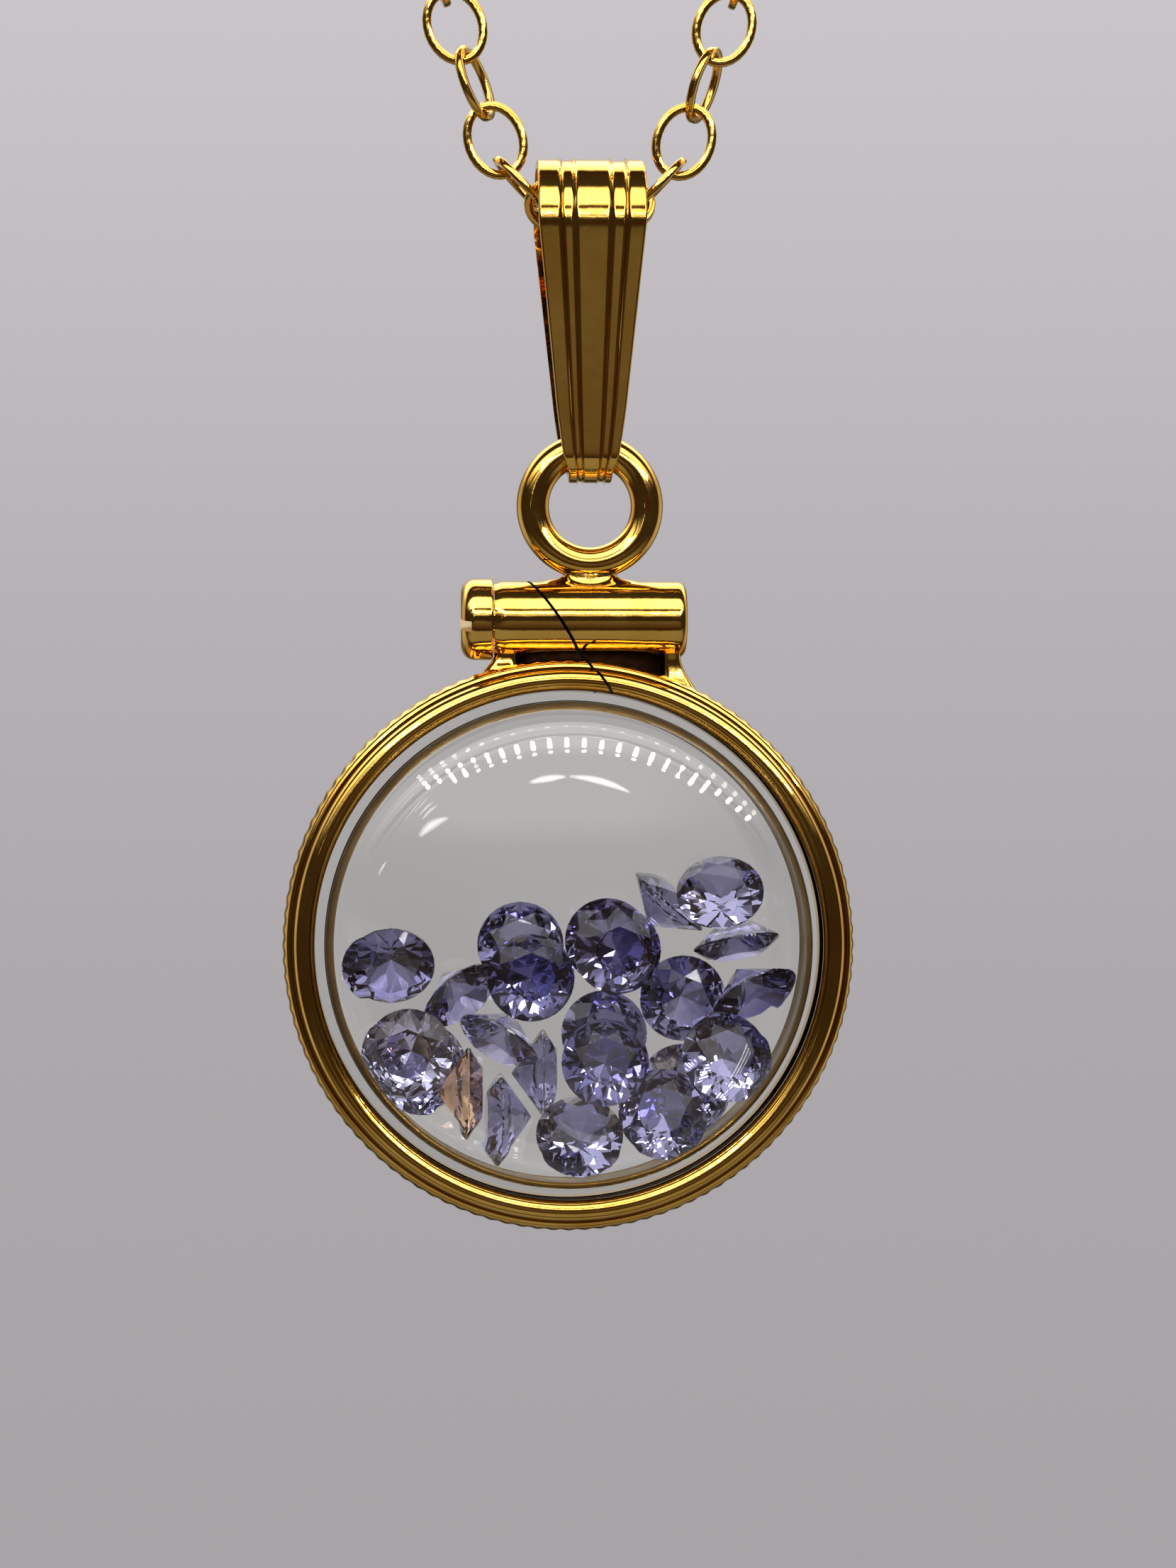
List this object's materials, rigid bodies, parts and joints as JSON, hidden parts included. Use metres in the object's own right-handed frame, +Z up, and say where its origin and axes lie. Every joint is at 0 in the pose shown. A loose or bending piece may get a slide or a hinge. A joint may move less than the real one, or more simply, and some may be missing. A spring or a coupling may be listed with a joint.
{
  "type": "shaker locket necklace",
  "caption": "Round clear shaker locket with loose faceted stones, screw-closed reeded rim, on a tapered bail and flat cable chain.",
  "frame": {"origin": "top of the chain loop where it hangs at the nape, in the middle of the clasp's line", "axes": "+X to the right seen from the front, +Y from the front to the back, +Z up; the locket faces -Y"},
  "size_m": [0.1028, 0.0066, 0.2275],
  "materials": {
    "gold": "polished",
    "crystal": "polished",
    "violet_stone": "polished"
  },
  "bodies": {
    "neck_chain": {"chain": "gold", "clasp": "gold"},
    "bail": {"bail": "gold"},
    "locket": {"bezel": "gold", "crystal_front": "crystal", "crystal_back": "crystal", "stone_01": "violet_stone", "stone_02": "violet_stone", "stone_03": "violet_stone", "stone_04": "violet_stone", "stone_05": "violet_stone", "stone_06": "violet_stone", "stone_07": "violet_stone", "stone_08": "violet_stone", "stone_09": "violet_stone", "stone_10": "violet_stone", "stone_11": "violet_stone", "stone_12": "violet_stone", "stone_13": "violet_stone", "stone_14": "violet_stone", "stone_15": "violet_stone", "stone_16": "violet_stone", "stone_17": "violet_stone", "stone_18": "violet_stone", "stone_19": "violet_stone", "stone_20": "violet_stone", "stone_21": "violet_stone", "stone_22": "violet_stone", "stone_23": "violet_stone"},
    "screw": {"screw": "gold"}
  },
  "joints": [
    {"name": "bail_swing", "type": "hinge", "parent": "neck_chain", "child": "bail", "pos_m": [0, 0, -0.1908], "axis": [1, 0, 0], "range_deg": [-75, 75]},
    {"name": "locket_swing", "type": "hinge", "parent": "bail", "child": "locket", "pos_m": [0, 0, -0.20129], "axis": [0, 1, 0], "range_deg": [-60, 60]},
    {"name": "screw_out", "type": "slide", "parent": "locket", "child": "screw", "axis": [-1, 0, 0], "range_m": [0, 0.0065]}
  ]
}
